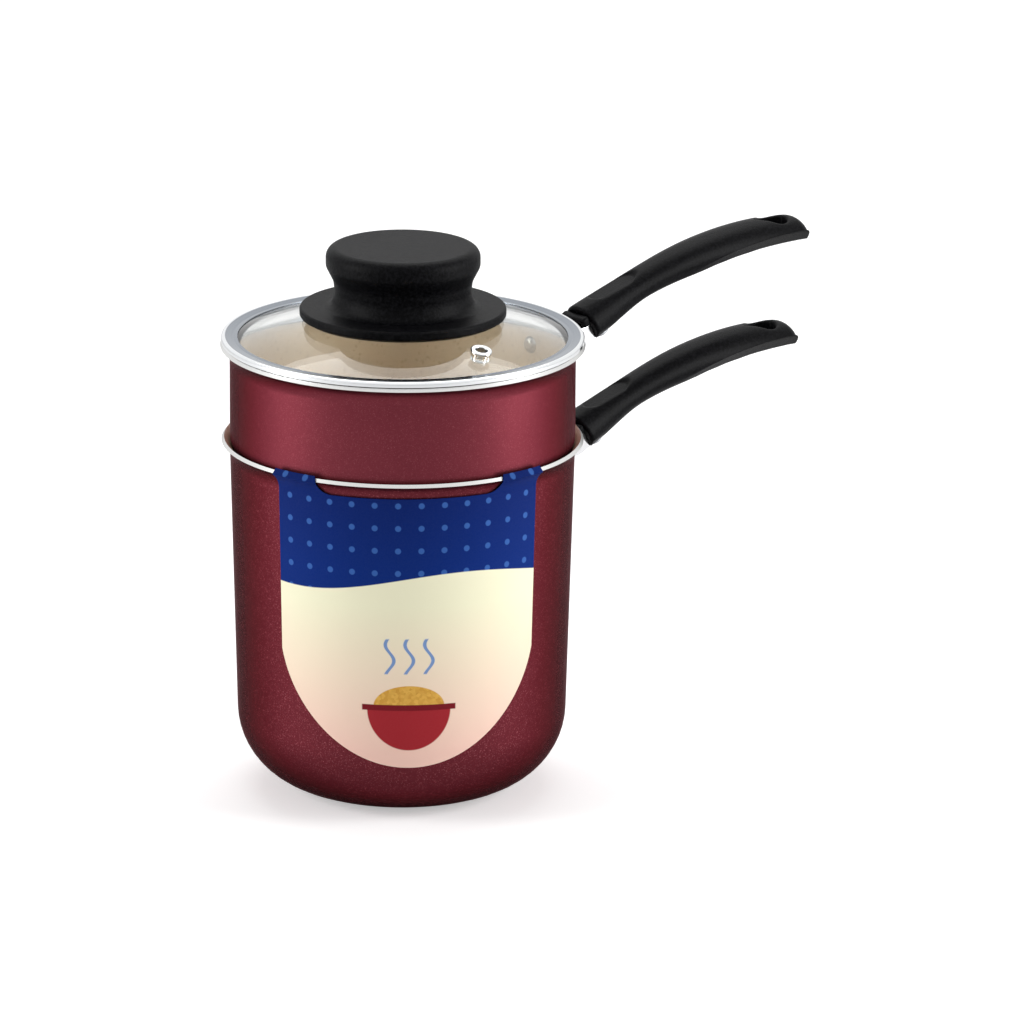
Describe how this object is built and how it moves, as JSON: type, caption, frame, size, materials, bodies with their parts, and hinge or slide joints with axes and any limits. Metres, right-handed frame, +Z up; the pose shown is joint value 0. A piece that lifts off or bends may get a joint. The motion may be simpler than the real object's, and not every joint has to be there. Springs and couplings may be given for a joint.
{
  "type": "couscous steamer",
  "caption": "Tall aluminium pot with a pierced steamer pot in its mouth, a domed glass lid with a broad knob, and an arched handle on each pot.",
  "frame": {"origin": "middle of the lower pot's base, where the axis of the pots meets the surface it stands on", "axes": "+Z up along the axis of the pots, +X out along the lower pot's handle, +Y to the left of that handle"},
  "size_m": [0.2168, 0.1102, 0.1673],
  "materials": {
    "coated_aluminium": "sparkling burgundy enamel outside, beige coat inside",
    "bracket_steel": "bright nickel plate",
    "rivet_metal": "satin, coated inside the pot",
    "screw_steel": "zinc plate",
    "handle_plastic": "satin phenolic with a fine grain",
    "lid_glass": "clear",
    "band_steel": "bright rolled stainless",
    "card_paper": "gloss print"
  },
  "bodies": {
    "root": {"lower_pot": "coated_aluminium", "lower_handle_bracket": "bracket_steel", "lower_handle_rivet": "rivet_metal", "lower_handle": "handle_plastic", "lower_handle_screw": "screw_steel", "steamer_pot": "coated_aluminium", "steamer_handle_bracket": "bracket_steel", "steamer_handle_rivet": "rivet_metal", "steamer_handle": "handle_plastic", "steamer_handle_screw": "screw_steel", "lid_glass": "lid_glass", "lid_band": "band_steel", "vent_eyelet": "band_steel", "lid_knob": "handle_plastic", "lid_knob_washer": "handle_plastic", "lid_knob_screw": "screw_steel", "label_card": "card_paper"}
  },
  "joints": []
}
